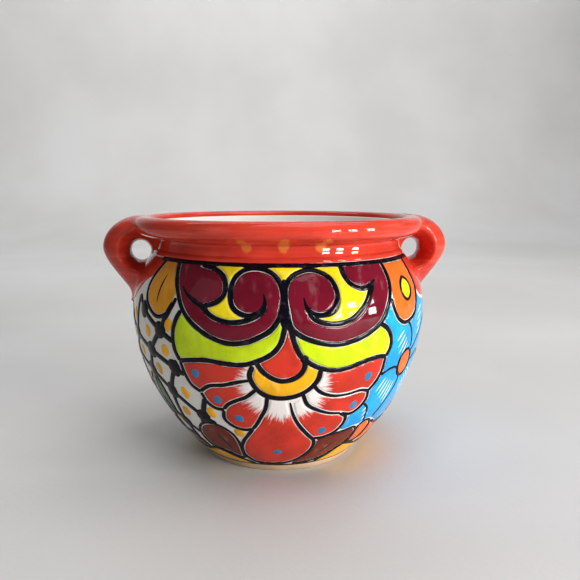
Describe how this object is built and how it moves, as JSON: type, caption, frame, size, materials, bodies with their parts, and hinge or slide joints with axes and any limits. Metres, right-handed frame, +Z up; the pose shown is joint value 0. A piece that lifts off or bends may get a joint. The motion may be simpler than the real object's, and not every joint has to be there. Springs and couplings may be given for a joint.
{
  "type": "talavera pottery vase",
  "caption": "Hand-painted glazed pottery vase or planter with a round belly, flared red collar and ear-shaped strap handles, for plants or dry display.",
  "frame": {"origin": "centre of the foot ring on the surface that the vase stands on", "axes": "+Z up along the vase's axis, +X towards the right handle, -Y towards the painted front"},
  "size_m": [0.2156, 0.181, 0.1483],
  "materials": {
    "bare_clay": "unglazed fired clay, matt and slightly gritty",
    "white_glaze": "glossy white tin glaze",
    "red_glaze": "glossy orange-red glaze with brushed variation",
    "black_line_glaze": "raised glossy black line glaze",
    "maroon_glaze": "glossy maroon glaze",
    "yellow_glaze": "glossy lemon yellow glaze",
    "ochre_glaze": "glossy ochre glaze with orange shading",
    "lime_glaze": "glossy lime green glaze",
    "petal_glaze": "glossy red petal glaze brushed out to white",
    "orange_glaze": "glossy orange glaze",
    "blue_glaze": "glossy sky blue glaze with white brush strokes",
    "brown_glaze": "glossy brown glaze",
    "leaf_green_glaze": "glossy leaf green glaze"
  },
  "bodies": {
    "root": {"bowl": "white_glaze", "foot_ring": "bare_clay", "collar": "red_glaze", "left_handle": "red_glaze", "right_handle": "red_glaze", "neck_band": "black_line_glaze", "lining": "white_glaze"}
  },
  "joints": []
}
